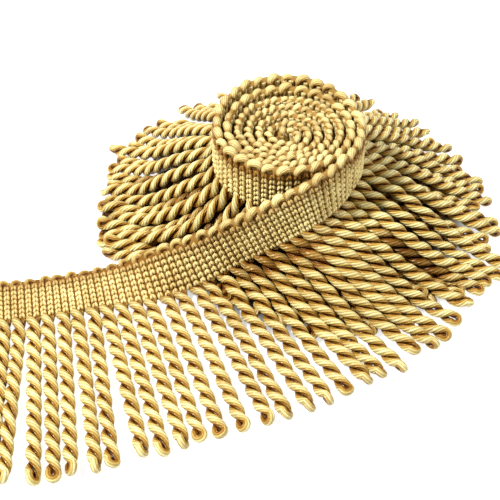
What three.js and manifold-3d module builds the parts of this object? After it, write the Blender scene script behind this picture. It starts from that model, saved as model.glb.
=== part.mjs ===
import * as THREE from "three";
import Module from "manifold-3d";

const wasm = await Module();
wasm.setup();

// A length of cord fringe, wound into a roll that stands on its spread fringe.
// Its free end unwinds in front of the roll and lies on the table to the left.
// Millimetres, +Z up, the roll's axis at the origin, the table at zero.
const headingWidth = 17;
const headingThickness = 2.8;
const turnPitch = 3.3;
const cordDiameter = 4.2;
const cordPitch = 4.75;
const pieceGap = 0.3;

// The roll: its outer turn shrinks by one pitch in each turn, and it is a little oval.
const rollTop = 48;
const rollFoot = 31;
const rollRadius = 23.4;
const rollRadiusAt = -10;
const rollOval = 0.95;
const rollFlare = 0.8;
const rollLeaves = -40;
const rollTurns = 6.4;
const rollSunken = 4;
const rollBackRise = 3;
const rollCoreTop = 42;
const stationsPerTurn = 20;

// The skirt: the roll's own cords, spread over the table all round.
const skirtTeeth = 60;
const skirtTop = rollFoot - pieceGap;
const ridgeDepth = 2.2;
const notchDepth = 8;

// One row for each direction: the radius where the cords leave the heading, how far
// they reach, how high their tips lie, how high their backs are near the heading and
// half way, and how far round they lean from where they start. The rows from 206 to
// 340 degrees lie behind and under the free end.
const skirtRows = [
  { azimuth: -13, neck: 23.6, reach: 72, tip: 2.1, shoulder: 26, middle: 18, lean: 0 },
  { azimuth: 0, neck: 23.6, reach: 73, tip: 2.1, shoulder: 26, middle: 19, lean: 0 },
  { azimuth: 20, neck: 23.6, reach: 75, tip: 2.1, shoulder: 26, middle: 19, lean: 4 },
  { azimuth: 45, neck: 23.6, reach: 75, tip: 5, shoulder: 26.5, middle: 20, lean: 6 },
  { azimuth: 70, neck: 23.6, reach: 75, tip: 6, shoulder: 27, middle: 21, lean: 4 },
  { azimuth: 100, neck: 23.6, reach: 74, tip: 5, shoulder: 27, middle: 21, lean: 0 },
  { azimuth: 130, neck: 23.6, reach: 72, tip: 3, shoulder: 26.5, middle: 20, lean: 8 },
  { azimuth: 160, neck: 23.6, reach: 64, tip: 2.1, shoulder: 26, middle: 19, lean: 22 },
  { azimuth: 180, neck: 23.2, reach: 59, tip: 2.1, shoulder: 26, middle: 18, lean: 26 },
  { azimuth: 194, neck: 22.8, reach: 54, tip: 2.1, shoulder: 25, middle: 16, lean: 22 },
  { azimuth: 206, neck: 22, reach: 38, tip: 2.1, shoulder: 22, middle: 12, lean: 12 },
  { azimuth: 220, neck: 21, reach: 27, tip: 2.1, shoulder: 22, middle: 14, lean: 4 },
  { azimuth: 240, neck: 20.5, reach: 22.6, tip: 2.1, shoulder: 24, middle: 14, lean: 0 },
  { azimuth: 258, neck: 20.5, reach: 22.6, tip: 2.1, shoulder: 20, middle: 10, lean: 0 },
  { azimuth: 275, neck: 20, reach: 40, tip: 2.1, shoulder: 13, middle: 8, lean: 0 },
  { azimuth: 300, neck: 20, reach: 50, tip: 2.1, shoulder: 15, middle: 9, lean: 0 },
  { azimuth: 340, neck: 21, reach: 56, tip: 2.1, shoulder: 17, middle: 10, lean: 0 },
];

// The free end, counted in cords from where it leaves the roll: the two edges of
// its heading, and where the cords that start there end on the table.
const tailRows = [
  { cord: 0, top: [18.1, -14.5, 48], foot: [18.7, -15, 31], tip: [66.5, -27] },
  { cord: 2, top: [10.8, -21.4, 47], foot: [13.4, -21.8, 30.2], tip: [58, -38.5] },
  { cord: 4, top: [2.2, -25.2, 44.6], foot: [7.4, -26, 28.2], tip: [48.5, -50] },
  { cord: 6, top: [-5.4, -26.2, 40], foot: [0.8, -27, 24.2], tip: [38, -58] },
  { cord: 8, top: [-13, -25.4, 33.6], foot: [-6.8, -26.6, 18.4], tip: [27.8, -65.8] },
  { cord: 10, top: [-20.9, -23.6, 26.8], foot: [-14.6, -25.4, 12.2], tip: [15.5, -72] },
  { cord: 12, top: [-29, -21.8, 20.4], foot: [-22.9, -26.2, 6.8], tip: [4.2, -77] },
  { cord: 14, top: [-37.3, -20.2, 14.6], foot: [-31.8, -28.6, 3.4], tip: [-8.6, -82] },
  { cord: 16, top: [-45.9, -18.9, 8.6], foot: [-40.8, -32.6, 2.5], tip: [-22, -87.2] },
  { cord: 18, top: [-54.5, -18.8, 4.4], foot: [-50, -35.4, 2.4], tip: [-33, -91.2] },
  { cord: 20, top: [-63.1, -20.4, 2.8], foot: [-59, -37.2, 2.4], tip: [-45, -94.4] },
  { cord: 22, top: [-71.7, -22.4, 2.4], foot: [-68.1, -39.2, 2.4], tip: [-58.2, -97.4] },
  { cord: 24, top: [-80.2, -24.2, 2.4], foot: [-77.1, -41, 2.4], tip: [-70, -100] },
  { cord: 26, top: [-89, -25.6, 2.4], foot: [-86, -42.4, 2.4], tip: [-81.6, -101.4] },
  { cord: 28, top: [-97.8, -26.5, 2.4], foot: [-95, -43.4, 2.4], tip: [-92.6, -102.6] },
];

const tipHeight = cordDiameter / 2 + 0.1;
const tailStations = 36;
const cordSides = 6;
const cordSteps = 6;
const stripDepth = 4;
const stripGap = 0.5;

const group = new THREE.Group();

// A name for each piece, with a colour of its own for the viewer.
function addPiece(name, geometry, colour) {
  const material = new THREE.MeshStandardMaterial({ color: colour, roughness: 0.6 });
  const mesh = new THREE.Mesh(geometry, material);
  mesh.name = name;
  group.add(mesh);
}

function toSolid(positions, triangles) {
  return new wasm.Manifold(
    new wasm.Mesh({
      numProp: 3,
      vertProperties: new Float32Array(positions),
      triVerts: new Uint32Array(triangles),
    }),
  );
}

function toGeometry(solid) {
  const mesh = solid.getMesh();
  const points = [];
  for (let i = 0; i < mesh.numVert; i++) {
    const start = i * mesh.numProp;
    points.push(
      mesh.vertProperties[start],
      mesh.vertProperties[start + 1],
      mesh.vertProperties[start + 2],
    );
  }
  const geometry = new THREE.BufferGeometry();
  geometry.setAttribute("position", new THREE.Float32BufferAttribute(points, 3));
  geometry.setIndex(Array.from(mesh.triVerts));
  geometry.computeVertexNormals();
  return geometry;
}

// A bar through rings of points that all run the same way round, closed at both ends.
function barThrough(rings) {
  const sides = rings[0].length;
  const positions = [];
  const triangles = [];
  for (const ring of rings) {
    for (const point of ring) {
      positions.push(point.x, point.y, point.z);
    }
  }
  for (let i = 0; i + 1 < rings.length; i++) {
    for (let j = 0; j < sides; j++) {
      const a = i * sides + j;
      const b = i * sides + ((j + 1) % sides);
      triangles.push(a, b, b + sides, a, b + sides, a + sides);
    }
  }
  const last = (rings.length - 1) * sides;
  for (let j = 1; j + 1 < sides; j++) {
    triangles.push(0, j + 1, j);
    triangles.push(last, last + j, last + j + 1);
  }
  const solid = toSolid(positions, triangles);
  if (solid.volume() >= 0) {
    return solid;
  }
  const turned = [];
  for (let i = 0; i < triangles.length; i += 3) {
    turned.push(triangles[i], triangles[i + 2], triangles[i + 1]);
  }
  return toSolid(positions, turned);
}

// A smooth value between the rows of a table.
function smoothBetween(rows, key, at, read) {
  let i = 0;
  while (i + 2 < rows.length && rows[i + 1][key] <= at) {
    i++;
  }
  const before = rows[Math.max(i - 1, 0)];
  const after = rows[Math.min(i + 2, rows.length - 1)];
  const from = rows[i];
  const to = rows[i + 1];
  const span = to[key] - from[key];
  const s = (at - from[key]) / span;
  const slopeFrom = ((read(to) - read(before)) / (to[key] - before[key])) * span;
  const slopeTo = ((read(after) - read(from)) / (after[key] - from[key])) * span;
  const s2 = s * s;
  const s3 = s2 * s;
  return (
    (2 * s3 - 3 * s2 + 1) * read(from) +
    (s3 - 2 * s2 + s) * slopeFrom +
    (3 * s2 - 2 * s3) * read(to) +
    (s3 - s2) * slopeTo
  );
}

// The middle of the wound heading, seen from above, at an angle counted inwards.
function rollRadiusFor(angle) {
  return rollRadius - (turnPitch * (angle - rollRadiusAt)) / 360;
}

function rollPoint(angle, radius, height) {
  const turn = THREE.MathUtils.degToRad(angle);
  return new THREE.Vector3(
    radius * Math.cos(turn),
    radius * rollOval * Math.sin(turn),
    height,
  );
}

// The wound heading is one solid: a core, and the turns that stand above it.
function makeHeadingRoll() {
  const rings = [];
  const lastAngle = rollLeaves + rollTurns * 360;
  const stations = Math.round(rollTurns * stationsPerTurn);
  for (let i = 0; i <= stations; i++) {
    const angle = rollLeaves + ((lastAngle - rollLeaves) * i) / stations;
    const middle = rollRadiusFor(angle);
    const inward = 1 - middle / rollRadius;
    const back = Math.max(0, Math.sin(THREE.MathUtils.degToRad(angle - 20)));
    const outer = Math.max(0, 1 - inward * 3);
    const top = rollTop - rollSunken * Math.min(1, inward * 1.25) + rollBackRise * back * outer;
    const half = headingThickness / 2;
    rings.push([
      rollPoint(angle, middle - half, rollFoot),
      rollPoint(angle, middle + half + rollFlare, rollFoot),
      rollPoint(angle, middle + half, top - 1),
      rollPoint(angle, middle + half - 0.8, top),
      rollPoint(angle, middle - half + 0.8, top),
      rollPoint(angle, middle - half, top - 1),
    ]);
  }
  const band = barThrough(rings);
  const outline = new THREE.Shape();
  for (let i = 0; i <= stationsPerTurn * 2; i++) {
    const angle = rollLeaves + (360 * i) / (stationsPerTurn * 2);
    const point = rollPoint(angle, rollRadiusFor(angle), 0);
    if (i === 0) {
      outline.moveTo(point.x, point.y);
    } else {
      outline.lineTo(point.x, point.y);
    }
  }
  outline.closePath();
  const profile = outline.getPoints().map((p) => [p.x, p.y]);
  const core = wasm.Manifold.extrude([profile], rollCoreTop - rollFoot).translate([
    0,
    0,
    rollFoot,
  ]);
  return toGeometry(core.add(band));
}

// A row of the skirt's table for any direction, straight between its neighbours.
function skirtAt(azimuth) {
  const turned = ((((azimuth - skirtRows[0].azimuth) % 360) + 360) % 360) + skirtRows[0].azimuth;
  let i = skirtRows.length - 1;
  while (i > 0 && skirtRows[i].azimuth > turned) {
    i--;
  }
  const from = skirtRows[i];
  const to = skirtRows[(i + 1) % skirtRows.length];
  const span = (to.azimuth - from.azimuth + 360) % 360;
  const s = (turned - from.azimuth) / span;
  const mix = (key) => from[key] + (to[key] - from[key]) * s;
  const row = {};
  for (const key of Object.keys(from)) {
    row[key] = mix(key);
  }
  return row;
}

// The skirt is one solid with a ridge and a tooth for each cord that shows.
function makeFringeRoll() {
  const samples = skirtTeeth * 4;
  const positions = [0, 0, skirtTop];
  const triangles = [];
  const ringCount = 6;
  for (let i = 0; i < samples; i++) {
    const azimuth = (360 * i) / samples;
    const row = skirtAt(azimuth);
    const valley = i % 4 === 0 ? 1 : 0;
    const reach = row.reach - valley * Math.min(notchDepth, 0.3 * (row.reach - row.neck));
    const drop = valley * ridgeDepth;
    const half = cordDiameter / 2;
    const foot = Math.max(reach - 8, row.neck - 2);
    const neck = row.neck;
    const ring = [
      [neck, skirtTop, 1],
      [neck + 0.22 * (reach - neck), row.shoulder - drop * 0.6, 0.78],
      [neck + 0.5 * (reach - neck), row.middle - drop, 0.5],
      [reach - 1, row.tip + half - drop * 0.8, 0],
      [reach, row.tip - half * 0.5, 0],
      [foot - valley, 0, 0],
    ];
    for (const [radius, height, share] of ring) {
      const turn = THREE.MathUtils.degToRad(azimuth + row.lean * share);
      const oval = radius <= 24 ? rollOval : 1;
      positions.push(radius * Math.cos(turn), radius * oval * Math.sin(turn), height);
    }
  }
  const bottom = positions.length / 3;
  positions.push(0, 0, 0);
  for (let i = 0; i < samples; i++) {
    const a = 1 + i * ringCount;
    const b = 1 + ((i + 1) % samples) * ringCount;
    triangles.push(0, a, b);
    for (let j = 0; j + 1 < ringCount; j++) {
      triangles.push(a + j, a + j + 1, b + j + 1, a + j, b + j + 1, b + j);
    }
    triangles.push(a + ringCount - 1, bottom, b + ringCount - 1);
  }
  return toGeometry(toSolid(positions, triangles));
}

function tailVector(cord, key, height) {
  const read = (axis) => (row) => (axis < row[key].length ? row[key][axis] : height);
  return new THREE.Vector3(
    smoothBetween(tailRows, "cord", cord, read(0)),
    smoothBetween(tailRows, "cord", cord, read(1)),
    smoothBetween(tailRows, "cord", cord, read(2)),
  );
}

// The heading's two edges at a cord, kept to the heading's own width.
function tailEdges(cord) {
  const top = tailVector(cord, "top", 0);
  const foot = tailVector(cord, "foot", 0);
  const down = foot.clone().sub(top).normalize();
  const middle = top.clone().add(foot).multiplyScalar(0.5);
  return {
    top: middle.clone().addScaledVector(down, -headingWidth / 2),
    foot: middle.clone().addScaledVector(down, headingWidth / 2),
    down,
  };
}

// Which way the heading runs, and which way it faces.
function tailFrame(cord) {
  const lastCord = tailRows[tailRows.length - 1].cord;
  const before = tailEdges(Math.max(cord - 0.4, 0));
  const after = tailEdges(Math.min(cord + 0.4, lastCord));
  const here = tailEdges(cord);
  const along = after.top.clone().add(after.foot).sub(before.top).sub(before.foot).normalize();
  const face = new THREE.Vector3().crossVectors(along, here.down).normalize();
  return { ...here, along, face };
}

// The free heading starts a gap away from the roll.
const tailStart = pieceGap / cordPitch + 0.02;
const tailEnd = tailRows[tailRows.length - 1].cord;

function makeHeadingTail() {
  const rings = [];
  for (let i = 0; i <= tailStations; i++) {
    const cord = tailStart + ((tailEnd - tailStart) * i) / tailStations;
    const { top, foot, down, face } = tailFrame(cord);
    const half = headingThickness / 2;
    const at = (edge, inset, side) =>
      edge.clone().addScaledVector(down, inset).addScaledVector(face, side);
    rings.push([
      at(top, 0, -half + 0.7),
      at(top, 0, half - 0.7),
      at(top, 1, half),
      at(foot, 0, half),
      at(foot, 0, -half),
      at(top, 1, -half),
    ]);
  }
  return toGeometry(barThrough(rings));
}

// One cord: down out of the heading, then outwards to its tip on the table.
function cordRings(cord) {
  const { foot, down } = tailFrame(cord);
  const start = foot.clone().addScaledVector(down, stripDepth - 1.3);
  start.z = Math.max(start.z, tipHeight);
  const tip = tailVector(cord, "tip", tipHeight);
  tip.z = tipHeight;
  const reach = tip.distanceTo(start);
  const level = tip.clone().sub(start).setZ(0).normalize();
  const away = down.clone().multiplyScalar(0.6).add(level).normalize();
  const leaving = start.clone().addScaledVector(away, reach * 0.25);
  leaving.z = Math.max(leaving.z, tipHeight);
  const curve = new THREE.CubicBezierCurve3(
    start,
    leaving,
    tip.clone().addScaledVector(level, -reach * 0.25),
    tip,
  );
  const rings = [];
  const up = new THREE.Vector3(0, 0, 1);
  for (let i = 0; i <= cordSteps; i++) {
    const s = i / cordSteps;
    const point = curve.getPoint(s);
    const tangent = curve.getTangent(s);
    const side = new THREE.Vector3().crossVectors(tangent, up).normalize();
    const over = new THREE.Vector3().crossVectors(side, tangent).normalize();
    const radius = (cordDiameter / 2) * (i === cordSteps ? 0.7 : 1);
    const ring = [];
    for (let j = 0; j < cordSides; j++) {
      const turn = (2 * Math.PI * j) / cordSides;
      ring.push(
        point
          .clone()
          .addScaledVector(side, radius * Math.cos(turn))
          .addScaledVector(over, radius * Math.sin(turn)),
      );
    }
    rings.push(ring);
  }
  return rings;
}

// The free fringe is one comb: a strip along the heading's foot, and its cords.
function makeFringeTail() {
  const stripRings = [];
  for (let i = 0; i <= tailStations; i++) {
    const cord = tailStart + ((tailEnd - tailStart) * i) / tailStations;
    const { foot, down, face } = tailFrame(cord);
    const half = headingThickness / 2 - 0.1;
    const at = (inset, side) => {
      const point = foot.clone().addScaledVector(down, inset).addScaledVector(face, side);
      point.z = Math.max(point.z, tipHeight - cordDiameter / 2);
      return point;
    };
    stripRings.push([
      at(stripGap, -half),
      at(stripGap, half),
      at(stripGap + stripDepth, half),
      at(stripGap + stripDepth, -half),
    ]);
  }
  let comb = barThrough(stripRings);
  const cords = Math.floor(tailEnd);
  for (let i = 0; i < cords; i++) {
    comb = comb.add(barThrough(cordRings(i + 0.5)));
  }
  return toGeometry(comb);
}

addPiece("heading_roll", makeHeadingRoll(), 0xd9c27a);
addPiece("fringe_roll", makeFringeRoll(), 0xc9a24a);
addPiece("heading_tail", makeHeadingTail(), 0xe0c983);
addPiece("fringe_tail", makeFringeTail(), 0xd0aa52);

export default group;
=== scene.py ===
import math
import bpy
import numpy as np
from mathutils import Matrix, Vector


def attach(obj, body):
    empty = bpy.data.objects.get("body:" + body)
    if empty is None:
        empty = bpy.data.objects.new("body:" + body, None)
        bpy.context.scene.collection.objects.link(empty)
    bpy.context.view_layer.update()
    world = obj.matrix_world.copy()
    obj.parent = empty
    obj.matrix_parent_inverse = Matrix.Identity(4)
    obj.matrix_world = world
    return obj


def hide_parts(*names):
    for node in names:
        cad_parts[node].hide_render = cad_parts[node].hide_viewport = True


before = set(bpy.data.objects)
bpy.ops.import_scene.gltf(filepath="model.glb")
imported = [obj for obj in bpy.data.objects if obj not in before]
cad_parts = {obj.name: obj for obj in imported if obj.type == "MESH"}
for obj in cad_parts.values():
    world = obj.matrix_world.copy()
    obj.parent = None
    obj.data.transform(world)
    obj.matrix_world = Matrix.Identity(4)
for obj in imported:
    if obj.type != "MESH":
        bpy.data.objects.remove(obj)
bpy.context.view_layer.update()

# all sizes here are in millimetres; toMetres turns them at the end
toMetres = 0.001
trim = {"headingWidth": 17.0, "webThickness": 1.3, "cordPitch": 4.75, "tableGap": 2.5}
roll = {
    "top": 48.0, "radius": 23.4, "radiusAt": -10.0, "turnPitch": 3.3, "oval": 0.95,
    "leaves": -40.0, "turns": 6.6, "sunken": 4.0, "backRise": 3.0, "backAt": 20, "samples": 6000,
}

# the free end: heading's top edge, its foot, and where its cords' tips lie
tailRows = [
    {"cord": 0, "top": (18.1, -14.5, 48), "foot": (18.7, -15, 31), "tip": (66.5, -27)},
    {"cord": 2, "top": (10.8, -21.4, 47), "foot": (13.4, -21.8, 30.2), "tip": (58, -38.5)},
    {"cord": 4, "top": (2.2, -25.2, 44.6), "foot": (7.4, -26, 28.2), "tip": (48.5, -50)},
    {"cord": 6, "top": (-5.4, -26.2, 40), "foot": (0.8, -27, 24.2), "tip": (38, -58)},
    {"cord": 8, "top": (-13, -25.4, 33.6), "foot": (-6.8, -26.6, 18.4), "tip": (27.8, -65.8)},
    {"cord": 10, "top": (-20.9, -23.6, 26.8), "foot": (-14.6, -25.4, 12.2), "tip": (15.5, -72)},
    {"cord": 12, "top": (-29, -21.8, 20.4), "foot": (-22.9, -26.2, 6.8), "tip": (4.2, -77)},
    {"cord": 14, "top": (-37.3, -20.2, 14.6), "foot": (-31.8, -28.6, 3.4), "tip": (-8.6, -82)},
    {"cord": 16, "top": (-45.9, -18.9, 8.6), "foot": (-40.8, -32.6, 2.5), "tip": (-22, -87.2)},
    {"cord": 18, "top": (-54.5, -18.8, 4.4), "foot": (-50, -35.4, 2.4), "tip": (-33, -91.2)},
    {"cord": 20, "top": (-63.1, -20.4, 2.8), "foot": (-59, -37.2, 2.4), "tip": (-45, -94.4)},
    {"cord": 22, "top": (-71.7, -22.4, 2.4), "foot": (-68.1, -39.2, 2.4), "tip": (-58.2, -97.4)},
    {"cord": 24, "top": (-80.2, -24.2, 2.4), "foot": (-77.1, -41, 2.4), "tip": (-70, -100)},
    {"cord": 26, "top": (-89, -25.6, 2.4), "foot": (-86, -42.4, 2.4), "tip": (-81.6, -101.4)},
    {"cord": 28, "top": (-97.8, -26.5, 2.4), "foot": (-95, -43.4, 2.4), "tip": (-92.6, -102.6)},
]

# the roll's own cords, by the direction they start in: where they end, and how high
# they are near the heading and half way
spreadRows = [
    {"start": -13, "tipAt": -13, "reach": 70, "tip": 2.2, "shoulder": 24, "middle": 16},
    {"start": 0, "tipAt": -4, "reach": 70.5, "tip": 2.2, "shoulder": 24, "middle": 17},
    {"start": 24, "tipAt": 16, "reach": 72, "tip": 2.4, "shoulder": 24, "middle": 17},
    {"start": 51, "tipAt": 42, "reach": 75, "tip": 3.6, "shoulder": 24.5, "middle": 18},
    {"start": 74, "tipAt": 70, "reach": 75.5, "tip": 4.2, "shoulder": 25, "middle": 19},
    {"start": 100, "tipAt": 100, "reach": 74.5, "tip": 3.8, "shoulder": 25, "middle": 19},
    {"start": 130, "tipAt": 129, "reach": 71, "tip": 4, "shoulder": 25, "middle": 18},
    {"start": 151, "tipAt": 147, "reach": 66, "tip": 4, "shoulder": 25, "middle": 17.5},
    {"start": 167, "tipAt": 159, "reach": 62, "tip": 4, "shoulder": 24.5, "middle": 17},
    {"start": 182, "tipAt": 171, "reach": 59, "tip": 4, "shoulder": 24, "middle": 16},
    {"start": 206, "tipAt": 181, "reach": 58, "tip": 4, "shoulder": 21, "middle": 13},
    {"start": 222, "tipAt": 188, "reach": 58, "tip": 3, "shoulder": 18, "middle": 10},
    {"start": 236, "tipAt": 194, "reach": 57, "tip": 2.4, "shoulder": 15, "middle": 8},
    {"start": 245, "tipAt": 200, "reach": 46, "tip": 2.4, "shoulder": 13, "middle": 6},
    {"start": 246, "tipAt": 214, "reach": 32, "tip": 2.4, "shoulder": 12, "middle": 6},
    {"start": 255, "tipAt": 242, "reach": 35, "tip": 2.4, "shoulder": 10, "middle": 4},
    {"start": 266, "tipAt": 266, "reach": 39, "tip": 2.4, "shoulder": 9, "middle": 4},
    {"start": 282, "tipAt": 290, "reach": 46, "tip": 2.4, "shoulder": 9, "middle": 3.5},
    {"start": 300, "tipAt": 307, "reach": 51, "tip": 2.4, "shoulder": 10, "middle": 4},
    {"start": 320, "tipAt": 323, "reach": 54, "tip": 2.4, "shoulder": 13, "middle": 5},
    {"start": 332, "tipAt": 334, "reach": 57, "tip": 2.4, "shoulder": 16, "middle": 8},
    {"start": 340, "tipAt": 343, "reach": 66, "tip": 2.4, "shoulder": 20, "middle": 12},
]


def unit(v):
    return v / np.maximum(np.linalg.norm(v, axis=-1, keepdims=True), 1e-9)


def runAlong(points):
    # how far along a path each of its points is
    step = np.linalg.norm(np.diff(points, axis=0), axis=1)
    return np.concatenate([[0], np.cumsum(step)])


def smoothRows(rows, key, at, read):
    # a smooth curve through a table's rows, as in the part
    keys = np.array([r[key] for r in rows], float)
    values = np.array([read(r) for r in rows], float)
    i = np.clip(np.searchsorted(keys, at, side="right") - 1, 0, len(keys) - 2)
    before, after = np.maximum(i - 1, 0), np.minimum(i + 2, len(keys) - 1)
    span = keys[i + 1] - keys[i]
    s = (at - keys[i]) / span
    slopeFrom = (values[i + 1] - values[before]) / (keys[i + 1] - keys[before]) * span
    slopeTo = (values[after] - values[i]) / (keys[after] - keys[i]) * span
    return (
        (2 * s**3 - 3 * s**2 + 1) * values[i] + (s**3 - 2 * s**2 + s) * slopeFrom
        + (3 * s**2 - 2 * s**3) * values[i + 1] + (s**3 - s**2) * slopeTo
    )


def tailPoints(cord, key):
    size = len(tailRows[0][key])
    found = [smoothRows(tailRows, "cord", cord, lambda r, k=k: r[key][k]) for k in range(size)]
    return np.stack(found, axis=-1)


def makeBandTable():
    # the heading's run, counted in cords: the free end above zero, the roll below it
    inner = roll["turns"] * 360
    angles = roll["leaves"] + np.linspace(0, inner, roll["samples"])
    radius = roll["radius"] - roll["turnPitch"] * (angles - roll["radiusAt"]) / 360
    turn = np.radians(angles)
    plan = np.stack([radius * np.cos(turn), radius * roll["oval"] * np.sin(turn)], axis=-1)
    run = runAlong(plan)
    inward = 1 - radius / roll["radius"]
    back = np.maximum(0, np.sin(turn - math.radians(roll["backAt"])))
    top = (
        roll["top"] - roll["sunken"] * np.minimum(1, inward * 1.25)
        + roll["backRise"] * back * np.maximum(0, 1 - inward * 3)
    )
    cords = -run / trim["cordPitch"]
    step = 0.05
    rollCords = np.arange(math.ceil(cords[-1] / step) * step, -step / 2, step)
    at = [np.interp(rollCords, cords[::-1], v[::-1]) for v in (plan[:, 0], plan[:, 1], top)]
    rollTop = np.stack(at, axis=-1)
    rollDown = np.tile([0.0, 0.0, -1.0], (len(rollCords), 1))
    tailCords = np.arange(0, tailRows[-1]["cord"] + step / 2, step)
    edge, foot = tailPoints(tailCords, "top"), tailPoints(tailCords, "foot")
    tailDown = unit(foot - edge)
    middle = (edge + foot) / 2
    tailTop = middle - tailDown * trim["headingWidth"] / 2
    number = np.concatenate([rollCords, tailCords])
    top = np.concatenate([rollTop, tailTop])
    down = np.concatenate([rollDown, tailDown])
    centre = top + down * trim["headingWidth"] / 2
    along = np.gradient(centre, axis=0)
    wide = np.ones(9) / 9  # evens out the join between the roll and the free end
    padded = np.pad(unit(along), ((4, 4), (0, 0)), mode="edge")
    along = unit(np.stack([np.convolve(padded[:, k], wide, "valid") for k in range(3)], axis=-1))
    face = unit(np.cross(along, down))
    along = unit(np.cross(down, face))
    return {
        "number": number, "top": top, "down": down, "along": along, "face": face,
        "angles": angles, "cords": cords,
    }


band = makeBandTable()
print("heading laid out, cords", round(float(band["number"][0]), 1), "to", float(band["number"][-1]))


def bandAt(number, what):
    return np.stack([np.interp(number, band["number"], band[what][:, k]) for k in range(3)], axis=-1)


def bandPoint(number, depth, lift):
    # a point of the heading: which cord, how far below the top edge, how far in front
    depth, lift = np.asarray(depth)[..., None], np.asarray(lift)[..., None]
    return bandAt(number, "top") + bandAt(number, "down") * depth + bandAt(number, "face") * lift


def spacedOut(points, count):
    # the same path with evenly spaced points, along a smooth curve through them
    points = np.asarray(points, float)
    step = np.maximum(np.linalg.norm(np.diff(points, axis=0), axis=1), 1e-6)
    run = np.concatenate([[0], np.cumsum(step)])
    slope = np.gradient(points, run, axis=0)
    fine = np.linspace(0, run[-1], count * 6)
    i = np.clip(np.searchsorted(run, fine, side="right") - 1, 0, len(run) - 2)
    span = (run[i + 1] - run[i])[:, None]
    s = (fine[:, None] - run[i][:, None]) / span
    curve = (
        (2 * s**3 - 3 * s**2 + 1) * points[i] + (s**3 - 2 * s**2 + s) * slope[i] * span
        + (3 * s**2 - 2 * s**3) * points[i + 1] + (s**3 - s**2) * slope[i + 1] * span
    )
    run = runAlong(curve)
    even = np.linspace(0, run[-1], count)
    return np.stack([np.interp(even, run, curve[:, k]) for k in range(3)], axis=-1)


def addMesh(name, made, material):
    # one piece from its points, faces, looks and corners; the looks are two columns: rise, from
    # the hollows to the ridges, and shade, from deep shade to light
    points, faces, looks, corners = made
    mesh = bpy.data.meshes.new(name)
    mesh.from_pydata((points * toMetres).tolist(), [], faces)
    for k, what in enumerate(("rise", "shade")):
        attribute = mesh.attributes.new(what, "FLOAT", "POINT")
        attribute.data.foreach_set("value", np.ascontiguousarray(looks[:, k], np.float32))
    strandMap = mesh.uv_layers.new(name="strand")
    strandMap.data.foreach_set("uv", corners.astype(np.float32).ravel())
    mesh.shade_smooth()
    mesh.materials.append(material)
    piece = bpy.data.objects.new(name, mesh)
    bpy.context.scene.collection.objects.link(piece)
    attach(piece, "root")
    print(name, sum(len(f) - 2 for f in faces), "triangles")
    return piece


def tubes(paths, outward, radius, sides, squash=1.0):
    # round tubes along many paths with the same number of points; rise is 1 on the side
    # that faces outward and 0 opposite, and the corners hold turn and centimetres of length
    count, stations, _ = paths.shape
    tangent = unit(np.gradient(paths, axis=1))
    first = unit(outward - tangent * np.sum(outward * tangent, axis=-1, keepdims=True))
    second = np.cross(tangent, first)
    turn = math.pi + np.linspace(0, 2 * math.pi, sides, endpoint=False)
    radius, squash = (np.broadcast_to(v, (count, stations))[..., None, None] for v in (radius, squash))
    ring = first[:, :, None] * np.cos(turn)[:, None] * squash + second[:, :, None] * np.sin(turn)[:, None]
    points = paths[:, :, None] + ring * radius
    index = np.arange(count * stations * sides).reshape(count, stations, sides)
    a, b = index[:, :-1], index[:, 1:]
    quads = np.stack([a, np.roll(a, -1, axis=2), np.roll(b, -1, axis=2), b], axis=-1).reshape(-1, 4)
    faces = quads.tolist()
    for k in range(count):
        faces.append(index[k, 0, ::-1].tolist())
        faces.append(index[k, -1].tolist())
    step = np.linalg.norm(np.diff(paths, axis=1), axis=-1)
    run = np.concatenate([np.zeros((count, 1)), np.cumsum(step, axis=1)], axis=1) * 0.1
    u = np.arange(sides) / sides
    corners = np.zeros((count, stations - 1, sides, 4, 2))
    corners[..., 0] = np.stack([u, u + 1 / sides, u + 1 / sides, u], axis=-1)
    corners[..., :2, 1] = run[:, :-1, None, None]
    corners[..., 2:, 1] = run[:, 1:, None, None]
    corners = np.concatenate([corners.reshape(-1, 2), np.zeros((count * 2 * sides, 2))])
    rise = np.broadcast_to(0.5 + 0.5 * np.cos(turn), (count, stations, sides))
    return points.reshape(-1, 3), faces, rise.reshape(-1), corners


def joined(parts):
    # several made meshes as one
    points, faces, looks, corners, start = [], [], [], [], 0
    for partPoints, partFaces, partLooks, partCorners in parts:
        points.append(partPoints)
        faces += [[v + start for v in face] for face in partFaces]
        looks.append(partLooks)
        corners.append(partCorners)
        start += len(partPoints)
    return np.concatenate(points), faces, np.concatenate(looks), np.concatenate(corners)


chance = np.random.default_rng(7)
cordMake = {
    "length": 61.0, "nodes": 20, "foot": 16.7, "helixRadius": 1.2, "halfTurn": 5.8,
    "strandRadius": 1.36, "strandFlat": 0.84, "loopStrandRadius": 1.22, "loopStrandFlat": 0.95,
    "rollThinner": 0.93, "tipLoop": 1.9, "tipBulge": 0.45, "tipReach": 2.6, "tipWander": 1.5,
}
cordFine = {"stations": 62, "sides": 12}
cordCoarse = {"stations": 48, "sides": 9}
tailNumbers = np.arange(0.5, tailRows[-1]["cord"])
rollNumbers = -np.arange(0.5, -band["number"][0])
wander = cordMake["tipWander"]  # how far a free tip may lie to one side
tailWander = np.random.default_rng(23).uniform(-wander, wander, len(tailNumbers))
print("cords on the free end", len(tailNumbers), "on the roll", len(rollNumbers))


tailMake = {"straight": 2.5, "steep": 0.6, "handle": 0.25, "shortest": 1.2, "longest": -1.0, "points": 12}


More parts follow.
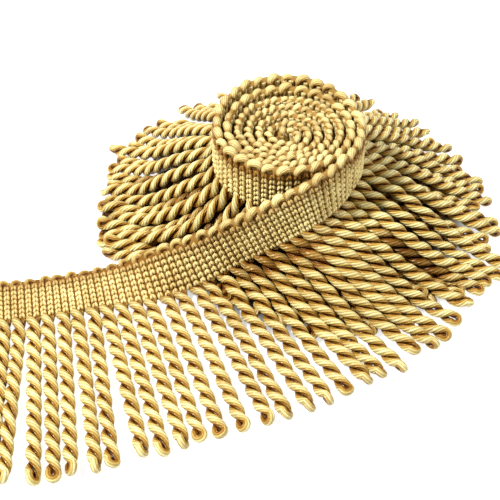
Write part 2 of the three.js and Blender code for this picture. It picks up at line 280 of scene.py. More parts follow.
def tailRoute(number):
    # a free cord: straight out of the heading, then over and along the table to its tip
    down = bandAt(number, "down")
    start = bandPoint(number, cordMake["foot"], 0.0)
    leaves = start + down * tailMake["straight"]
    leaves[2] = max(leaves[2], trim["tableGap"])
    tip = np.append(tailPoints(np.array(number), "tip"), trim["tableGap"])
    level = unit((tip - leaves) * [1, 1, 0])
    aside = np.array([-level[1], level[0], 0]) * tailWander[int(number)]
    shorter = chance.uniform(tailMake["longest"], tailMake["shortest"])
    tip = tip - level * (cordMake["tipReach"] + shorter) + aside
    away = unit(down * tailMake["steep"] + level)
    reach = np.linalg.norm(tip - leaves)
    second = leaves + away * reach * tailMake["handle"]
    second[2] = max(second[2], trim["tableGap"])
    third = tip - level * reach * tailMake["handle"]
    s = np.linspace(0, 1, tailMake["points"])[:, None]
    curve = (
        (1 - s) ** 3 * leaves + 3 * s * (1 - s) ** 2 * second
        + 3 * s**2 * (1 - s) * third + s**3 * tip
    )
    return np.concatenate([start[None], curve])


def spreadAt(start):
    # the spread table read between its rows, all the way round
    keys = [r["start"] for r in spreadRows]
    turned = (start - keys[0]) % 360 + keys[0]
    at = np.array(keys + [keys[0] + 360], float)
    found = {}
    for name in ("tipAt", "reach", "tip", "shoulder", "middle"):
        column = [r[name] for r in spreadRows]
        column.append(column[0] + (360 if name == "tipAt" else 0))
        found[name] = float(np.interp(turned, at, column))
    found["start"] = turned
    return found


def cutTo(points, length):
    # the first part of a path, or the path with its end carried straight on
    points = np.asarray(points, float)
    run = runAlong(points)
    if run[-1] < length:
        ahead = unit((points[-1] - points[-2]) * [1, 1, 0.3])
        return np.concatenate([points, [points[-1] + ahead * (length - run[-1])]])
    keep = run < length - 0.5
    end = [np.interp(length, run, points[:, k]) for k in range(3)]
    return np.concatenate([points[keep], [end]])


# the directions are degrees round the roll, counted from the right
fanMake = {
    "joinWide": 27, "joinTips": [-21, -13], "outerTurns": 3, "evenFrom": -34, "evenTo": 192,
    "evenRounds": 60, "scatter": 2, "scatterLater": 0.8,
}
underFreeEnd = {"from": 246, "to": 341, "pastJoin": 43}
outsideJoin = {"layer": 0.12, "reach": 71.0, "shoulder": 24.0, "middle": 16.0}
# layers are turns of the roll, counted from the outside; cords of the inner turns lie lower
lowerBy = {"layers": [0, 1, 2, 3, 7], "lower": [0, 0.8, 2.2, 5, 15]}
rollMake = {"shares": [0.0, 0.04, 0.25, 0.5, 0.78, 1.0], "longest": 1.5, "shortest": -3.5, "points": 40}


def fannedTips():
    # the directions of the roll's tips, evened out between neighbours
    starts = np.interp(rollNumbers, band["cords"][::-1], band["angles"][::-1])
    scatter = chance.uniform(-fanMake["scatter"], fanMake["scatter"], len(starts))
    tips = np.array([spreadAt(a)["tipAt"] for a in starts]) + scatter
    joinEnd = roll["leaves"] + fanMake["joinWide"]
    first = starts < joinEnd
    tips[first] = np.interp(starts[first], [roll["leaves"], joinEnd], fanMake["joinTips"])
    tips = (tips + 60) % 360 - 60
    order = np.argsort(tips)
    outerEnd = roll["leaves"] + 360 * fanMake["outerTurns"]
    for layer in (starts < outerEnd, starts >= outerEnd):
        mine = order[layer[order]]
        fan = tips[mine]
        inside = (fan > fanMake["evenFrom"]) & (fan < fanMake["evenTo"])
        for step in range(fanMake["evenRounds"]):
            middle = (fan[:-2] + fan[2:]) / 2
            fan[1:-1] = np.where(inside[1:-1], fan[1:-1] * 0.5 + middle * 0.5, fan[1:-1])
        tips[mine] = fan
    return starts, tips + chance.uniform(-fanMake["scatterLater"], fanMake["scatterLater"], len(tips))


def hiddenUnder(angle):
    # the roll's cords that the free end lies over
    between = underFreeEnd["from"] < spreadAt(angle)["start"] < underFreeEnd["to"]
    return between and angle > roll["leaves"] + underFreeEnd["pastJoin"]


def rollRoute(number, angle, tipAt):
    # a cord of the roll: down from the heading, over the cords of the turns inside, and out
    layer = (angle - roll["leaves"]) / 360
    row = spreadAt(angle)
    # where the roll goes over into the free end nothing lies over its cords
    outside = layer < outsideJoin["layer"]
    if outside:
        row.update({key: outsideJoin[key] for key in ("reach", "shoulder", "middle")})
        row["start"] = angle
    start = bandPoint(number, cordMake["foot"], 0.0)
    neck = math.hypot(start[0], start[1] / roll["oval"])
    reach = row["reach"]
    low = np.interp(math.floor(layer), lowerBy["layers"], lowerBy["lower"])
    swing = (tipAt - row["start"] + 180) % 360 - 180
    heights = [
        start[2], start[2] - 3.0 - low, row["shoulder"] - low, row["middle"] - low,
        row["middle"] * 0.45 - low * 0.6, row["tip"],
    ]
    heights = [max(h, trim["tableGap"]) for h in heights]
    heights[1] = max(heights[1], heights[2])
    points = [start]
    for share, height in zip(rollMake["shares"][1:], heights[1:]):
        turn = math.radians(row["start"] + swing * share)
        radius = neck + (reach - neck) * share
        oval = roll["oval"] if radius < 26 else 1
        points.append([radius * math.cos(turn), radius * oval * math.sin(turn), height])
    longest = cordMake["length"] - cordMake["tipReach"]
    longest = longest + chance.uniform(rollMake["shortest"], rollMake["longest"])
    points = spacedOut(points, rollMake["points"])
    # on the left and at the front it is no longer than its way out
    if 150 < row["start"] < 340 and not outside:
        longest = min(longest, runAlong(points)[-1] + 2)
    return cutTo(points, longest)


blockSize = 400  # how many points are compared with all the others at once


def closePairs(points, cordOf, within):
    # pairs of points of different cords that are near each other
    found = []
    for start in range(0, len(points), blockSize):
        block = points[start:start + blockSize]
        far = np.linalg.norm(block[:, None] - points[None], axis=-1)
        a, b = np.nonzero(far < within)
        a = a + start
        keep = (a < b) & (cordOf[a] != cordOf[b])
        found.append(np.stack([a[keep], b[keep]]))
    both = np.concatenate(found, axis=1)
    return both[0], both[1]


def closeTo(points, others, within):
    # which points are near which of the others
    far = np.linalg.norm(points[:, None] - others[None], axis=-1)
    return np.nonzero(far < within)


settle = {
    "rounds": 240, "spacing": 4.0, "headingGap": 3.5, "lookEvery": 8, "lookFurther": 1.5,
    "holdFree": 0.12, "holdOuter": 0.06, "holdInner": 0.012, "outerCords": 82,
    "sink": 0.04, "bend": 0.3, "footHold": 0.15,
}


def settled(paths, hold, lengths):
    # lets the cords push each other aside and lie on the table, each keeping its length
    target, at = paths.copy(), paths.copy()
    count, nodes, _ = at.shape
    piece = lengths[:, None] / (nodes - 1)
    cordOf = np.repeat(np.arange(count), nodes)
    free = np.ones((count, nodes, 1))
    free[:, 0] = 0
    free[:, 1] = settle["footHold"]
    inner = hold[:, None, None] < settle["holdOuter"] / 2
    number, depth = np.meshgrid(
        np.arange(0.3, tailRows[-1]["cord"], 0.7),
        np.arange(0.5, trim["headingWidth"], 3.2),
        indexing="ij",
    )
    headingPoints = bandPoint(number, depth, 0 * depth).reshape(-1, 3)
    for step in range(settle["rounds"]):
        at += hold[:, None, None] * (target - at) * free
        at[..., 2:] -= settle["sink"] * free * inner
        straight = (at[:, :-2] + at[:, 2:]) / 2
        at[:, 1:-1] += settle["bend"] * free[:, 1:-1] * (straight - at[:, 1:-1])
        flat = at.reshape(-1, 3)
        if step % settle["lookEvery"] == 0:
            first, second = closePairs(flat, cordOf, settle["spacing"] + settle["lookFurther"])
            near, headingOf = closeTo(flat, headingPoints, settle["headingGap"] + settle["lookFurther"])
        gap = flat[first] - flat[second]
        far = np.maximum(np.linalg.norm(gap, axis=1, keepdims=True), 1e-6)
        push = np.maximum(settle["spacing"] - far, 0) / far * gap
        ease = free.reshape(-1, 1) / np.maximum(np.repeat(hold * 25, nodes)[:, None], 0.5)
        share = ease[first] / np.maximum(ease[first] + ease[second], 1e-6)
        moved, hits = np.zeros_like(flat), np.zeros((len(flat), 1))
        np.add.at(moved, first, push * share)
        np.add.at(moved, second, -push * (1 - share))
        np.add.at(hits, first, (far < settle["spacing"]) * 1.0)
        np.add.at(hits, second, (far < settle["spacing"]) * 1.0)
        gap = flat[near] - headingPoints[headingOf]
        far = np.maximum(np.linalg.norm(gap, axis=1, keepdims=True), 1e-6)
        np.add.at(moved, near, np.maximum(settle["headingGap"] - far, 0) / far * gap)
        np.add.at(hits, near, (far < settle["headingGap"]) * 1.0)
        flat = flat + moved / np.maximum(np.sqrt(hits), 1) * (free.reshape(-1, 1) > 0)
        at = flat.reshape(count, nodes, 3)
        at[..., 2] = np.maximum(at[..., 2], trim["tableGap"])
        for again in range(3):
            for odd in (0, 1):
                a, b = at[:, odd:-1:2], at[:, odd + 1::2]
                freeA, freeB = free[:, odd:-1:2], free[:, odd + 1::2]
                gap = b - a
                far = np.linalg.norm(gap, axis=-1, keepdims=True)
                fix = (far - piece[:, :, None]) / np.maximum(far, 1e-6) * gap
                total = np.maximum(freeA + freeB, 1e-6)
                at[:, odd:-1:2] = a + fix * freeA / total
                at[:, odd + 1::2] = b - fix * freeB / total
    return at


numbers = np.concatenate([tailNumbers, rollNumbers])
tailCount = len(tailNumbers)
drawn = [spacedOut(tailRoute(n), cordMake["nodes"]) for n in tailNumbers]
rollStarts, rollTips = fannedTips()
for n, angle, tipAt in zip(rollNumbers, rollStarts, rollTips):
    drawn.append(spacedOut(rollRoute(n, angle, tipAt), cordMake["nodes"]))
drawn = np.stack(drawn)
lengths = np.linalg.norm(np.diff(drawn, axis=1), axis=-1).sum(1)
hold = np.full(len(numbers), settle["holdInner"])
hold[:tailCount] = settle["holdFree"]
hold[tailCount:tailCount + settle["outerCords"]] = settle["holdOuter"]
routes = settled(drawn, hold, lengths)
print("cords settled")

coverMake = {"beside": 2.7, "above": 2.6, "freeBeside": 4.6, "freeAbove": 1.6}


def coverOver(paths):
    # how far each point of each cord lies under other cords, from 0 to 1, for the painted shade;
    # the free cords shade those of the roll from further off
    flat = paths.reshape(-1, 3)
    found = np.zeros(len(flat))
    fromFree = np.arange(len(flat)) < tailCount * paths.shape[1]
    for start in range(0, len(flat), blockSize):
        block = slice(start, start + blockSize)
        gap = flat[None] - flat[block, None]
        beside = np.hypot(gap[..., 0], gap[..., 1])
        over = (beside < coverMake["beside"]) & (gap[..., 2] > coverMake["above"])
        freeOver = (beside < coverMake["freeBeside"]) & (gap[..., 2] > coverMake["freeAbove"]) & fromFree
        found[block] = over.sum(1) + freeOver.sum(1) * ~fromFree[block]
    return np.minimum(found / 2, 1).reshape(paths.shape[:2])


cover = coverOver(routes)


# how much painted shade the cords take under other cords, at their feet and between the free end and the
# roll
cordShade = {
    "deepest": 0.72, "foot": 0.35, "footLong": 6, "hidden": 0.45, "tipsFrom": 0.75, "tipsLess": 0.6,
    "crowdedAt": [0, 3, 13, 18], "crowded": [0, 0.16, 0.16, 0],
}


def cordBright(chosen, share):
    # how much painted shade each cord takes at each share of its length: 1 is unshaded
    steps = np.linspace(0, 1, cover.shape[1])
    under = np.stack([np.interp(share, steps, cover[k]) for k in chosen])
    hidden = np.array([k >= tailCount and hiddenUnder(rollStarts[k - tailCount]) for k in chosen])
    # painted shade: the roll's cords under the free end are darker all along, and the tips less so
    under = np.maximum(under, cordShade["hidden"] * hidden[:, None])
    under = under * (1 - cordShade["tipsLess"] * np.clip((share - cordShade["tipsFrom"]) / 0.2, 0, 1))
    # painted shade: the first few millimetres lie in the heading's shade
    foot = np.maximum(0, 1 - share * lengths[chosen][:, None] / cordShade["footLong"])
    bright = 1 - cordShade["deepest"] * np.maximum(under, cordShade["foot"] * foot)
    # painted shade: less light between the free end and the roll
    crowded = np.interp(numbers[chosen], cordShade["crowdedAt"], cordShade["crowded"])
    return bright * (1 - crowded[:, None] * (1 - 0.5 * share))


def cordStrands(chosen, stations, sides):
    # two strands twisted round the route, joined by an open loop at the tip
    make = cordMake
    count = len(chosen)
    middle = np.stack([spacedOut(routes[k], stations) for k in chosen])
    tangent = unit(np.gradient(middle, axis=1))
    first = np.zeros_like(middle)
    first[:, 0] = bandAt(numbers[chosen], "face")
    for m in range(stations):
        before = first[:, max(m - 1, 0)]
        lengthwise = np.sum(before * tangent[:, m], axis=-1, keepdims=True)
        first[:, m] = unit(before - tangent[:, m] * lengthwise)
    second = np.cross(first, tangent)
    share = np.linspace(0, 1, stations)
    length = lengths[chosen]
    bright = cordBright(chosen, share)
    thin = np.where(numbers[chosen] < 0, make["rollThinner"], 1.0)[:, None]
    dice = np.random.default_rng(11)
    halfTurn = make["halfTurn"] * dice.uniform(0.93, 1.07, (count, 1))
    wander = dice.uniform(-0.5, 0.5, (count, 1))
    drift = wander * np.sin(share * math.pi * dice.uniform(1.5, 3, (count, 1)))
    phase = math.pi / 2 + math.pi * share * length[:, None] / halfTurn + drift
    helix = make["helixRadius"] * thin * dice.uniform(0.94, 1.06, (count, 1)) * np.ones((1, stations))
    offset = first * np.cos(phase)[..., None] + second * np.sin(phase)[..., None]
    one, two = middle + offset * helix[..., None], middle - offset * helix[..., None]
    end, ahead, side = middle[:, -1], tangent[:, -1], offset[:, -1]
    loopSize = make["tipLoop"] * dice.uniform(0.85, 1.3, (count, 1))
    turn = np.linspace(0, math.pi, 9)[1:-1]
    loop, loopOut = [], []
    for t in turn:
        bulge = 1 + make["tipBulge"] * math.sin(t)
        wide = side * math.cos(t) * helix[:, -1:] * bulge
        loop.append(end + wide + ahead * math.sin(t) * loopSize)
        loopOut.append(side * math.cos(t) + ahead * math.sin(t))
    paths = np.concatenate([one, np.stack(loop, axis=1), two[:, ::-1]], axis=1)
    outward = np.concatenate([offset, np.stack(loopOut, axis=1), -offset[:, ::-1]], axis=1)
    # flat where the two strands lie on each other, round in the loop
    fromLoop = np.abs(np.arange(paths.shape[1]) - (paths.shape[1] - 1) / 2) - 3
    flatter = np.clip(fromLoop / 5, 0, 1)
    radius = make["loopStrandRadius"] + (make["strandRadius"] - make["loopStrandRadius"]) * flatter
    radius = thin * dice.uniform(0.95, 1.05, (count, 1)) * radius
    squash = make["loopStrandFlat"] + (make["strandFlat"] - make["loopStrandFlat"]) * flatter
    points, faces, rise, corners = tubes(paths, outward, radius, sides, squash)
    points[:, 2] = np.maximum(points[:, 2], 0.05)  # no strand goes into the table
    inLoop = np.repeat(bright[:, -1:], len(turn), axis=1)
    shade = np.repeat(np.concatenate([bright, inLoop, bright[:, ::-1]], axis=1).ravel(), sides)
    return points, faces, np.stack([rise, shade], axis=-1), corners


# colours by rise: painted shade in the hollows (deep, warm), the yarn's gold, and a painted highlight on
# the ridges (pale)
cordFinish = {
    "deep": (0.13, 0.042, 0.005, 1), "deepAt": 0.16,
    "warm": (0.48, 0.26, 0.04, 1), "warmAt": 0.58,
    "gold": (0.67, 0.53, 0.17, 1), "goldAt": 0.84,
    "pale": (0.88, 0.82, 0.42, 1),
    "roughness": 0.34, "threads": 7, "slant": 1.6, "bump": 0.9,
}
headingFinish = {
    "deep": (0.10, 0.036, 0.004, 1), "deepAt": 0.10,
    "warm": (0.40, 0.22, 0.04, 1), "warmAt": 0.38,
    "gold": (0.66, 0.50, 0.17, 1), "goldAt": 0.66,
    "pale": (0.88, 0.77, 0.37, 1),
    "roughness": 0.4, "threads": 10, "slant": 5.0, "bump": 0.6,
}
groundFinish = {**headingFinish, "roughness": 0.9, "bump": 0.3}
# what all the satin yarn shares
satin = {
    "shineTint": (1.0, 0.86, 0.56, 1), "shine": 0.4, "threadScale": 0.62832, "threadUneven": 1.6,
    "threadGapShade": (0.40, 0.28, 0.14, 1), "threadMix": 0.65, "threadDepth": 0.0002,
    "patchScale": 110, "patchColour": (0.62, 0.50, 0.34, 1), "patchMix": 0.55,
    "deepShade": (0.08, 0.028, 0.006, 1), "halfShade": (0.44, 0.27, 0.11, 1),
}


def colourRamp(nodes, links, source, stops):
    ramp = nodes.new("ShaderNodeValToRGB")
    elements = ramp.color_ramp.elements
    elements[0].position, elements[0].color = stops[0]
    elements[1].position, elements[1].color = stops[-1]
    for at, colour in stops[1:-1]:
        elements.new(at).color = colour
    links.new(source, ramp.inputs["Fac"])
    return ramp.outputs["Color"]


def multiplied(nodes, links, first, second, share):
    mix = nodes.new("ShaderNodeMixRGB")
    mix.blend_type = "MULTIPLY"
    mix.inputs["Fac"].default_value = share
    links.new(first, mix.inputs["Color1"])
    links.new(second, mix.inputs["Color2"])
    return mix.outputs["Color"]


def satinMaterial(name, finish):
    material = bpy.data.materials.new(name)
    material.use_nodes = True
    nodes, links = material.node_tree.nodes, material.node_tree.links
    white = (1, 1, 1, 1)
    shader = nodes["Principled BSDF"]
    shader.inputs["Roughness"].default_value = finish["roughness"]
    shader.inputs["Specular Tint"].default_value = satin["shineTint"]
    shader.inputs["Specular IOR Level"].default_value = satin["shine"]
    # painted shade and highlight: red brown in the hollows between the strands, pale gold highlight on
    # their ridges
    rise = nodes.new("ShaderNodeAttribute")
    rise.attribute_name = "rise"
    colour = colourRamp(nodes, links, rise.outputs["Fac"], [
        (finish["deepAt"], finish["deep"]), (finish["warmAt"], finish["warm"]),
        (finish["goldAt"], finish["gold"]), (1.0, finish["pale"]),
    ])
    # the fine threads of each strand, with painted shade in the grooves between them
    strand = nodes.new("ShaderNodeUVMap")
    strand.uv_map = "strand"
    stretch = nodes.new("ShaderNodeMapping")
    stretch.inputs["Scale"].default_value = (finish["threads"], finish["slant"], 1)
    links.new(strand.outputs["UV"], stretch.inputs["Vector"])
    threads = nodes.new("ShaderNodeTexWave")
    threads.wave_type, threads.bands_direction = "BANDS", "DIAGONAL"
    threads.inputs["Scale"].default_value = satin["threadScale"]
    threads.inputs["Distortion"].default_value = satin["threadUneven"]
    threads.inputs["Detail"].default_value = 1.0
    threads.inputs["Detail Scale"].default_value = 1.5
    links.new(stretch.outputs["Vector"], threads.inputs["Vector"])
    gaps = colourRamp(nodes, links, threads.outputs["Fac"], [(0.0, satin["threadGapShade"]), (0.45, white)])
    colour = multiplied(nodes, links, colour, gaps, satin["threadMix"])
    # slow change of colour over the piece
    coordinates = nodes.new("ShaderNodeTexCoord")
    patches = nodes.new("ShaderNodeTexNoise")
    patches.inputs["Scale"].default_value = satin["patchScale"]
    patches.inputs["Detail"].default_value = 3.0
    links.new(coordinates.outputs["Object"], patches.inputs["Vector"])
    tint = colourRamp(nodes, links, patches.outputs["Fac"], [(0.32, satin["patchColour"]), (0.62, white)])
    colour = multiplied(nodes, links, colour, tint, satin["patchMix"])
    # painted shade from the shade attribute: what lies under other cords or in other shade is darker and
    # redder
    shade = nodes.new("ShaderNodeAttribute")
    shade.attribute_name = "shade"
    deepness = colourRamp(nodes, links, shade.outputs["Fac"], [
        (0.0, satin["deepShade"]), (0.5, satin["halfShade"]), (1.0, white),
    ])
    colour = multiplied(nodes, links, colour, deepness, 1.0)
    links.new(colour, shader.inputs["Base Color"])
    bump = nodes.new("ShaderNodeBump")
    bump.inputs["Strength"].default_value = finish["bump"]
    bump.inputs["Distance"].default_value = satin["threadDepth"]
    links.new(threads.outputs["Fac"], bump.inputs["Height"])
    links.new(bump.outputs["Normal"], shader.inputs["Normal"])
    return material


satinCord = satinMaterial("satin cord", cordFinish)
satinHeading = satinMaterial("satin heading", headingFinish)
mattGround = satinMaterial("matt ground", groundFinish)
print("materials made")

# the ribs stand two to a cord, this share of a cord to each side of it
ribAside = 0.25
stitchMake = {
    "rows": 7, "rowsInside": 2, "outerCords": 38, "firstRow": 4.1, "lastRow": 16.2,
    "long": 1.16, "wide": 0.58, "high": 1.0, "lean": 0.26, "side": 0.094, "lift": 0.12,
    "around": 7, "rings": 5,
}
stitchShade = {
    "firstRow": 0.26, "secondRow": 0.1, "onRoll": 2.2, "laidFrom": 8, "laidTo": 16, "laid": 0.92,
}


def stitchBall(around, rings):
    # one round stitch of radius 1 with its poles on the second axis
    turns = np.linspace(0, 2 * math.pi, around, endpoint=False)
    tilts = np.linspace(-math.pi / 2, math.pi / 2, rings + 2)[1:-1]
    ball = [[0, -1, 0]]
    for tilt in tilts:
        for turn in turns:
            ball.append([math.cos(tilt) * math.cos(turn), math.sin(tilt), math.cos(tilt) * math.sin(turn)])
    ball.append([0, 1, 0])
    last = 1 + (rings - 1) * around
    faces = [[0, 1 + (j + 1) % around, 1 + j] for j in range(around)]
    for i in range(rings - 1):
        low, high = 1 + i * around, 1 + (i + 1) * around
        for j in range(around):
            k = (j + 1) % around
            faces.append([low + j, low + k, high + k, high + j])
    faces += [[last + j, last + (j + 1) % around, last + around] for j in range(around)]
    return np.array(ball), faces


def plainCorners(faces):
    # one place on the strand map for every corner, so no thread lines show
    return np.full((sum(len(f) for f in faces), 2), 0.25)


def stitches(unitNumbers, rowsShown):
    # each rib is a chain of slanted stitches, two side by side in each row
    make = stitchMake
    ball, ballFaces = stitchBall(make["around"], make["rings"])
    dice = np.random.default_rng(3)
    depths = np.linspace(make["firstRow"], make["lastRow"], make["rows"])
    numbersAt, depth, lean = [], [], []
    for n in unitNumbers:
        for rib in (-ribAside, ribAside):
            for row in range(rowsShown):
                for half in (-1, 1):
                    numbersAt.append(n + rib + half * make["side"])
                    depth.append(depths[row] + 0.1 * half)
                    lean.append(half * make["lean"])
    numbersAt, depth, lean = np.array(numbersAt), np.array(depth), np.array(lean)
    total = len(numbersAt)
    lean = lean + dice.uniform(-0.1, 0.1, total)
    lowered = depth + dice.uniform(-0.1, 0.1, total)
    lifted = trim["webThickness"] / 2 + make["lift"] + dice.uniform(-0.08, 0.08, total)
    centre = bandPoint(numbersAt, lowered, lifted)
    along, down, face = (bandAt(numbersAt, what) for what in ("along", "down", "face"))
    axis = down * np.cos(lean)[:, None] + along * np.sin(lean)[:, None]
    across = unit(np.cross(face, axis))
    size = dice.uniform(0.86, 1.1, (total, 1))
    points = (
        centre[:, None]
        + across[:, None] * ball[None, :, 0:1] * make["wide"]
        + axis[:, None] * ball[None, :, 1:2] * make["long"] * size[:, None]
        + face[:, None] * ball[None, :, 2:3] * make["high"]
    )
    firstPoints = np.arange(total)[:, None] * len(ball)
    faces = []
    for ballFace in ballFaces:
        faces += (firstPoints + np.array(ballFace)).tolist()
    # painted shade: the first rows of stitches, under the loops, are darker, more so on the roll
    inSecond = np.where(depth < depths[1] + 0.5, stitchShade["secondRow"], 0)
    creaseShade = np.where(depth < depths[0] + 0.5, stitchShade["firstRow"], inSecond)[:, None]
    creaseShade = creaseShade * np.where(numbersAt < 0, stitchShade["onRoll"], 1.0)[:, None]
    # painted shade: the part that lies on the table takes more light, so it is darkened
    laidAt = [stitchShade["laidFrom"], stitchShade["laidTo"]]
    laid = np.interp(numbersAt, laidAt, [1, stitchShade["laid"]])[:, None]
    # painted highlight and shade: each stitch is paler on its front and darker at its sides, with tone
    # that differs at random
    rise = np.clip(0.50 + 0.58 * ball[None, :, 2] + dice.uniform(-0.18, 0.14, (total, 1)), 0, 1)
    shade = (1 - creaseShade) * laid + 0 * rise
    looks = np.stack([rise.reshape(-1), shade.reshape(-1)], axis=-1)
    return points.reshape(-1, 3), faces, looks, plainCorners(faces)


loopMake = {
    "radius": 1.24, "sides": 9, "wide": 0.285, "high": 1.05, "depth": 2.35, "footDepth": 4.3,
    "swell": 0.88, "swellMore": 0.2, "footSwell": 0.72, "flat": 0.86, "legShade": [0.3, 0.55, 0.85],
    "fatCords": 46, "closeFrom": 46.4, "closePitch": 0.58, "closeFineness": 0.6,
}


def topLoops(unitNumbers, fineness=1.0):
    # the strand turns over at the top edge in a fat loop, one to a cord, each lying
    # a little over the next like the turns of a rope
    make = loopMake
    dice = np.random.default_rng(5)
    count = len(unitNumbers)
    turn = np.linspace(math.radians(-25), math.radians(205), 10)[None, :]
    wide = make["wide"] * fineness * dice.uniform(0.88, 1.12, (count, 1))
    high = make["high"] * dice.uniform(0.7, 1.35, (count, 1))
    shift = dice.uniform(-0.07, 0.07, (count, 1))
    lean = dice.uniform(0.15, 0.85, (count, 1))
    numbersAt = unitNumbers[:, None] + shift - wide * np.cos(turn)
    depth = make["depth"] - high * np.sin(turn) + dice.uniform(-0.35, 0.35, (count, 1))
    lift = 0.15 - lean * np.cos(turn) + dice.uniform(-0.2, 0.2, (count, 1))
    # each loop's legs run down to the first stitches
    foot = np.full((count, 1), make["footDepth"])
    footLift = np.full((count, 1), 0.1)
    numbersAt = np.concatenate([numbersAt[:, :1], numbersAt, numbersAt[:, -1:]], axis=1)
    depth = np.concatenate([foot, depth, foot], axis=1)
    lift = np.concatenate([footLift, lift, footLift], axis=1)
    paths = bandPoint(numbersAt, depth, lift)
    centre = bandPoint(unitNumbers[:, None] + shift + 0 * numbersAt, 2.7 + 0 * depth, 0 * lift)
    swell = make["swell"] + make["swellMore"] * np.clip(np.sin(turn), 0, 1) ** 0.7
    swell = np.concatenate([[[make["footSwell"]]], swell, [[make["footSwell"]]]], axis=1)
    radius = make["radius"] * fineness**0.6 * dice.uniform(0.86, 1.12, (count, 1)) * swell
    points, faces, rise, corners = tubes(paths, paths - centre, radius, make["sides"], make["flat"])
    # painted shade: each loop's legs darken where they run down under it, with a little random change of
    # tone from loop to loop
    legs = make["legShade"]
    shade = np.concatenate([legs, np.ones(numbersAt.shape[1] - 2 * len(legs)), legs[::-1]])
    shade = (shade[None] * dice.uniform(0.8, 1.05, (count, 1))).ravel()
    return points, faces, np.stack([rise, np.repeat(shade, make["sides"])], axis=-1), corners


barMake = {"radius": 1.05, "flat": 0.85, "sides": 8, "stations": 15, "top": 2.0, "behind": 0.35}


def backBars(unitNumbers, depthTo):
    # behind the stitches each strand is one plain bar
    ribs = np.concatenate([unitNumbers - ribAside, unitNumbers + ribAside])
    depth = np.linspace(barMake["top"], depthTo, barMake["stations"])[None, :]
    numbersAt = ribs[:, None] + 0 * depth
    paths = bandPoint(numbersAt, depth + 0 * numbersAt, -barMake["behind"] + 0 * numbersAt)
    outward = -bandAt(numbersAt, "face")
    swell = 1.0 + 0.08 * np.sin(depth * math.pi * 2 / 2.1)
    radius = barMake["radius"] * swell * np.ones((len(ribs), 1))
    points, faces, rise, corners = tubes(paths, outward, radius, barMake["sides"], barMake["flat"])
    return points, faces, np.stack([rise, np.ones(len(rise))], axis=-1), corners


webMake = {
    "top": 1.2, "rows": 6, "step": 0.25, "rise": 0.5, "shadeAt": [8, 16], "shade": [0.72, 0.52],
}


def makeWeb(name, fromNumber, toNumber, node):
    # the ground that the strands are bound into
    numbersAt = np.arange(fromNumber, toNumber + 1e-6, webMake["step"])
    depths = np.linspace(webMake["top"], trim["headingWidth"], webMake["rows"])
    number, depth = np.meshgrid(numbersAt, depths, indexing="ij")
    half = trim["webThickness"] / 2
    sides = [bandPoint(number, depth, side * half + 0 * depth) for side in (1, -1)]
    points = np.concatenate([side.reshape(-1, 3) for side in sides])
    size = number.size
    index = np.arange(size).reshape(number.shape)
    quads = np.stack([index[:-1, :-1], index[:-1, 1:], index[1:, 1:], index[1:, :-1]], axis=-1)
    front = quads.reshape(-1, 4)
    faces = front[:, ::-1].tolist() + (front + size).tolist()
    rim = np.concatenate([index[0, :], index[1:, -1], index[-1, -2::-1], index[-2:0:-1, 0]]).tolist()
    for a, b in zip(rim, rim[1:] + rim[:1]):
        faces.append([a, b, b + size, a + size])
    # painted shade: the ground between the stitches is darker, and darker still on the part that lies on
    # the table
    shade = np.tile(np.interp(number, webMake["shadeAt"], webMake["shade"]).ravel(), 2)
    looks = np.stack([webMake["rise"] + 0 * shade, shade], axis=-1)
    web = addMesh(name, (points, faces, looks, plainCorners(faces)), mattGround)
    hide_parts(node)
    return web


tailEnd = float(tailRows[-1]["cord"])
rollEnd = float(band["number"][0])
webTail = makeWeb("heading_web_free", 0.0, tailEnd, "heading_tail")
webRoll = makeWeb("heading_web_wound", rollEnd, -0.02, "heading_roll")

stitchesTail = addMesh("stitches_free", stitches(tailNumbers, stitchMake["rows"]), satinHeading)
stitchesWound = joined([
    stitches(rollNumbers[:stitchMake["outerCords"]], stitchMake["rows"]),
    stitches(rollNumbers[stitchMake["outerCords"]:], stitchMake["rowsInside"]),
])
stitchesRoll = addMesh("stitches_wound", stitchesWound, satinHeading)

loopsTail = addMesh("loops_free", topLoops(tailNumbers), satinHeading)
# towards the middle of the roll the loops are drawn tighter and closer
closeNumbers = -np.arange(loopMake["closeFrom"], -rollEnd - 0.3, loopMake["closePitch"])
loopsWound = joined([
    topLoops(rollNumbers[:loopMake["fatCords"]]),
    topLoops(closeNumbers, loopMake["closeFineness"]),
])
loopsRoll = addMesh("loops_wound", loopsWound, satinHeading)

barsTail = addMesh("bars_free", backBars(tailNumbers, trim["headingWidth"]), satinHeading)
barsRoll = addMesh("bars_wound", backBars(rollNumbers, 8.0), satinHeading)
print("heading made")

outerCords = 42  # the roll's cords that show best
freeCords = list(range(tailCount))
spreadCords = list(range(tailCount, tailCount + outerCords))
innerCords = list(range(tailCount + outerCords, len(routes)))
cordsTail = addMesh("cords_free", cordStrands(freeCords, **cordFine), satinCord)
cordsOuter = addMesh("cords_spread", cordStrands(spreadCords, **cordFine), satinCord)
cordsInner = addMesh("cords_under", cordStrands(innerCords, **cordCoarse), satinCord)
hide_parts("fringe_tail")
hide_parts("fringe_roll")
print("cords made")

# white paper that glows a little all round to stay evenly white; the glow fades out near the roll, a
# painted shadow under it; in metres
paperLook = {
    "size": 4, "colour": (0.4, 0.4, 0.4, 1), "roughness": 0.9,
    "glow": 0.9, "middle": (0.010, 0.008, 0), "darkTo": 0.046, "lightFrom": 0.060,
}


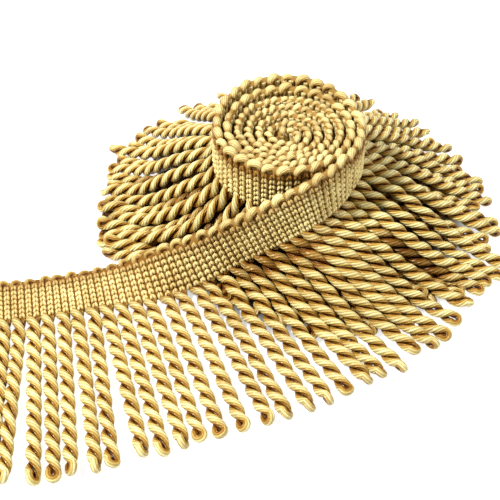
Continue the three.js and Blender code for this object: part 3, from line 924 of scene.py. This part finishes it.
def paperMaterial():
    paper = bpy.data.materials.new("white paper")
    paper.use_nodes = True
    nodes, links = paper.node_tree.nodes, paper.node_tree.links
    shader = nodes["Principled BSDF"]
    shader.inputs["Base Color"].default_value = paperLook["colour"]
    shader.inputs["Roughness"].default_value = paperLook["roughness"]
    shader.inputs["Emission Color"].default_value = (1, 1, 1, 1)
    place = nodes.new("ShaderNodeTexCoord")
    fromMiddle = nodes.new("ShaderNodeVectorMath")
    fromMiddle.operation = "DISTANCE"
    fromMiddle.inputs[1].default_value = paperLook["middle"]
    # painted shadow: no glow near the roll, the full glow further out
    glow = nodes.new("ShaderNodeMapRange")
    glow.interpolation_type = "SMOOTHSTEP"
    glow.inputs["From Min"].default_value = paperLook["darkTo"]
    glow.inputs["From Max"].default_value = paperLook["lightFrom"]
    glow.inputs["To Max"].default_value = paperLook["glow"]
    links.new(place.outputs["Object"], fromMiddle.inputs[0])
    links.new(fromMiddle.outputs["Value"], glow.inputs["Value"])
    links.new(glow.outputs["Result"], shader.inputs["Emission Strength"])
    return paper


bpy.ops.object.select_all(action="DESELECT")
bpy.ops.mesh.primitive_plane_add(size=paperLook["size"], location=(0, 0, 0))
floor = bpy.context.object
floor.name = "floor"
floor.data.materials.append(paperMaterial())
print("floor laid")

# places in metres, powers in watts
lamps = {
    "key": {"place": (-0.44, -0.14, 0.70), "size": 0.09, "power": 11.6},
    "fill": {"place": (0.5, 0.0, 0.6), "size": 0.3, "power": 4.2},
}
lampsAim = (0, -0.02, 0.01)
worldLight = 0.11


def addLamp(name, lamp):
    light = bpy.data.lights.new(name, "AREA")
    light.shape, light.size, light.energy = "DISK", lamp["size"], lamp["power"]
    holder = bpy.data.objects.new(name, light)
    bpy.context.scene.collection.objects.link(holder)
    holder.location = lamp["place"]
    aim = Vector(lampsAim) - Vector(lamp["place"])
    holder.rotation_euler = aim.to_track_quat("-Z", "Y").to_euler()


for lampName, lamp in lamps.items():
    addLamp(lampName, lamp)
world = bpy.data.worlds.new("studio")
bpy.context.scene.world = world
world.use_nodes = True
world.node_tree.nodes["Background"].inputs["Color"].default_value = (1, 1, 1, 1)
world.node_tree.nodes["Background"].inputs["Strength"].default_value = worldLight

# the distance and the target are in millimetres, and the focal length is in pixels of the
# photograph, which is 500 pixels wide
photoCamera = {
    "elevation": 46.0, "distance": 376.0, "target": (-11.3, -9.1, 0.0),
    "focal": 1120.0, "pixels": 500, "sensor": 36,
}


def placeCamera():
    data = bpy.data.cameras.new("photo camera")
    camera = bpy.data.objects.new("photo camera", data)
    bpy.context.scene.collection.objects.link(camera)
    bpy.context.scene.camera = camera
    data.sensor_width = photoCamera["sensor"]
    data.lens = photoCamera["focal"] / photoCamera["pixels"] * photoCamera["sensor"]
    data.clip_start, data.clip_end = 0.01, 20
    elevation = math.radians(photoCamera["elevation"])
    x, y, z = photoCamera["target"]
    camera.location = (
        x * toMetres,
        (y - photoCamera["distance"] * math.cos(elevation)) * toMetres,
        (z + photoCamera["distance"] * math.sin(elevation)) * toMetres,
    )
    camera.rotation_euler = (math.pi / 2 - elevation, 0, 0)


placeCamera()
bpy.context.scene.view_settings.view_transform = "Standard"
print("lamps and camera placed")
